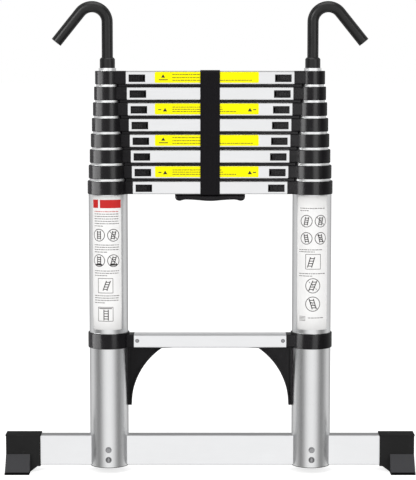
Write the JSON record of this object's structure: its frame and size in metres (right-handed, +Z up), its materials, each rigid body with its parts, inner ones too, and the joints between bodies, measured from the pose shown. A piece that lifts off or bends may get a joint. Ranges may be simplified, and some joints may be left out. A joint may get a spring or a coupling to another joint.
{
  "type": "telescoping ladder",
  "caption": "Folded aluminium telescoping ladder with sliding rung sections, thumb latches, swivelling roof hooks and a wide stabiliser bar.",
  "frame": {"origin": "on the floor, midway between the two columns, at the middle of the soles", "axes": "+X to the ladder's right side as seen from the front, +Y to the back, +Z up the columns"},
  "size_m": [0.7966, 0.088, 0.9112],
  "materials": {
    "tube_metal": "satin extruded aluminium",
    "rung_metal": "light satin anodised aluminium",
    "black_plastic": "semi-gloss moulded nylon",
    "boot_rubber": "matt moulded rubber",
    "hook_coating": "satin black coated steel tube",
    "bolt_steel": "zinc-plated steel",
    "webbing": "woven black webbing",
    "sticker_paper": "white printed vinyl",
    "sticker_yellow": "yellow printed vinyl"
  },
  "bodies": {
    "root": {"base_tube_left": "tube_metal", "base_tube_right": "tube_metal", "rung_1": "rung_metal", "rung_1_collars": "black_plastic", "rung_1_screws": "bolt_steel", "rung_2": "rung_metal", "collars_2": "black_plastic", "brace_left": "black_plastic", "brace_right": "black_plastic", "stabiliser_bar": "rung_metal", "bar_bolts": "bolt_steel", "tube_plugs": "black_plastic", "boot_left": "boot_rubber", "boot_right": "boot_rubber", "soles": "boot_rubber", "carry_handle": "black_plastic", "strap_tail": "webbing"},
    "section_3": {"rung_3": "rung_metal", "collars_3": "black_plastic", "tubes_3": "tube_metal"},
    "section_4": {"rung_4": "rung_metal", "collars_4": "black_plastic", "tubes_4": "tube_metal"},
    "section_5": {"rung_5": "rung_metal", "collars_5": "black_plastic", "tubes_5": "tube_metal"},
    "section_6": {"rung_6": "rung_metal", "collars_6": "black_plastic", "tubes_6": "tube_metal"},
    "section_7": {"rung_7": "rung_metal", "collars_7": "black_plastic", "tubes_7": "tube_metal"},
    "section_8": {"rung_8": "rung_metal", "collars_8": "black_plastic", "tubes_8": "tube_metal"},
    "section_9": {"rung_9": "rung_metal", "collars_9": "black_plastic", "tubes_9": "tube_metal", "hook_sockets": "tube_metal", "strap_band": "webbing"},
    "latch_2_left": {"latch_2_left": "black_plastic"},
    "latch_2_right": {"latch_2_right": "black_plastic"},
    "latch_3_left": {"latch_3_left": "black_plastic"},
    "latch_3_right": {"latch_3_right": "black_plastic"},
    "latch_4_left": {"latch_4_left": "black_plastic"},
    "latch_4_right": {"latch_4_right": "black_plastic"},
    "latch_5_left": {"latch_5_left": "black_plastic"},
    "latch_5_right": {"latch_5_right": "black_plastic"},
    "latch_6_left": {"latch_6_left": "black_plastic"},
    "latch_6_right": {"latch_6_right": "black_plastic"},
    "latch_7_left": {"latch_7_left": "black_plastic"},
    "latch_7_right": {"latch_7_right": "black_plastic"},
    "latch_8_left": {"latch_8_left": "black_plastic"},
    "latch_8_right": {"latch_8_right": "black_plastic"},
    "latch_9_left": {"latch_9_left": "black_plastic"},
    "latch_9_right": {"latch_9_right": "black_plastic"},
    "hook_sleeve_left": {"hook_sleeve_left": "black_plastic"},
    "hook_left": {"hook_left": "hook_coating"},
    "hook_sleeve_right": {"hook_sleeve_right": "black_plastic"},
    "hook_right": {"hook_right": "hook_coating"}
  },
  "joints": [
    {"name": "section_3_slide", "type": "slide", "parent": "root", "child": "section_3", "axis": [0, 0, 1], "range_m": [0, 0.268]},
    {"name": "section_4_slide", "type": "slide", "parent": "section_3", "child": "section_4", "axis": [0, 0, 1], "range_m": [0, 0.268]},
    {"name": "section_5_slide", "type": "slide", "parent": "section_4", "child": "section_5", "axis": [0, 0, 1], "range_m": [0, 0.268]},
    {"name": "section_6_slide", "type": "slide", "parent": "section_5", "child": "section_6", "axis": [0, 0, 1], "range_m": [0, 0.268]},
    {"name": "section_7_slide", "type": "slide", "parent": "section_6", "child": "section_7", "axis": [0, 0, 1], "range_m": [0, 0.268]},
    {"name": "section_8_slide", "type": "slide", "parent": "section_7", "child": "section_8", "axis": [0, 0, 1], "range_m": [0, 0.268]},
    {"name": "section_9_slide", "type": "slide", "parent": "section_8", "child": "section_9", "axis": [0, 0, 1], "range_m": [0, 0.268]},
    {"name": "latch_2_left_slide", "type": "slide", "parent": "root", "child": "latch_2_left", "axis": [1, 0, 0], "range_m": [0, 0.01], "stiffness_N_per_m": 500, "springref_m": -0.005},
    {"name": "latch_2_right_slide", "type": "slide", "parent": "root", "child": "latch_2_right", "axis": [-1, 0, 0], "range_m": [0, 0.01], "stiffness_N_per_m": 500, "springref_m": -0.005},
    {"name": "latch_3_left_slide", "type": "slide", "parent": "section_3", "child": "latch_3_left", "axis": [1, 0, 0], "range_m": [0, 0.01], "stiffness_N_per_m": 500, "springref_m": -0.005},
    {"name": "latch_3_right_slide", "type": "slide", "parent": "section_3", "child": "latch_3_right", "axis": [-1, 0, 0], "range_m": [0, 0.01], "stiffness_N_per_m": 500, "springref_m": -0.005},
    {"name": "latch_4_left_slide", "type": "slide", "parent": "section_4", "child": "latch_4_left", "axis": [1, 0, 0], "range_m": [0, 0.01], "stiffness_N_per_m": 500, "springref_m": -0.005},
    {"name": "latch_4_right_slide", "type": "slide", "parent": "section_4", "child": "latch_4_right", "axis": [-1, 0, 0], "range_m": [0, 0.01], "stiffness_N_per_m": 500, "springref_m": -0.005},
    {"name": "latch_5_left_slide", "type": "slide", "parent": "section_5", "child": "latch_5_left", "axis": [1, 0, 0], "range_m": [0, 0.01], "stiffness_N_per_m": 500, "springref_m": -0.005},
    {"name": "latch_5_right_slide", "type": "slide", "parent": "section_5", "child": "latch_5_right", "axis": [-1, 0, 0], "range_m": [0, 0.01], "stiffness_N_per_m": 500, "springref_m": -0.005},
    {"name": "latch_6_left_slide", "type": "slide", "parent": "section_6", "child": "latch_6_left", "axis": [1, 0, 0], "range_m": [0, 0.01], "stiffness_N_per_m": 500, "springref_m": -0.005},
    {"name": "latch_6_right_slide", "type": "slide", "parent": "section_6", "child": "latch_6_right", "axis": [-1, 0, 0], "range_m": [0, 0.01], "stiffness_N_per_m": 500, "springref_m": -0.005},
    {"name": "latch_7_left_slide", "type": "slide", "parent": "section_7", "child": "latch_7_left", "axis": [1, 0, 0], "range_m": [0, 0.01], "stiffness_N_per_m": 500, "springref_m": -0.005},
    {"name": "latch_7_right_slide", "type": "slide", "parent": "section_7", "child": "latch_7_right", "axis": [-1, 0, 0], "range_m": [0, 0.01], "stiffness_N_per_m": 500, "springref_m": -0.005},
    {"name": "latch_8_left_slide", "type": "slide", "parent": "section_8", "child": "latch_8_left", "axis": [1, 0, 0], "range_m": [0, 0.01], "stiffness_N_per_m": 500, "springref_m": -0.005},
    {"name": "latch_8_right_slide", "type": "slide", "parent": "section_8", "child": "latch_8_right", "axis": [-1, 0, 0], "range_m": [0, 0.01], "stiffness_N_per_m": 500, "springref_m": -0.005},
    {"name": "latch_9_left_slide", "type": "slide", "parent": "section_9", "child": "latch_9_left", "axis": [1, 0, 0], "range_m": [0, 0.01], "stiffness_N_per_m": 500, "springref_m": -0.005},
    {"name": "latch_9_right_slide", "type": "slide", "parent": "section_9", "child": "latch_9_right", "axis": [-1, 0, 0], "range_m": [0, 0.01], "stiffness_N_per_m": 500, "springref_m": -0.005},
    {"name": "hook_sleeve_left_pull", "type": "slide", "parent": "section_9", "child": "hook_sleeve_left", "axis": [0, 0, 1], "range_m": [0, 0.045]},
    {"name": "hook_left_turn", "type": "hinge", "parent": "hook_sleeve_left", "child": "hook_left", "pos_m": [-0.1965, 0, 0.87], "axis": [0, 0, 1], "range_deg": [-90, 90]},
    {"name": "hook_sleeve_right_pull", "type": "slide", "parent": "section_9", "child": "hook_sleeve_right", "axis": [0, 0, 1], "range_m": [0, 0.045]},
    {"name": "hook_right_turn", "type": "hinge", "parent": "hook_sleeve_right", "child": "hook_right", "pos_m": [0.1965, 0, 0.87], "axis": [0, 0, 1], "range_deg": [-90, 90]}
  ]
}
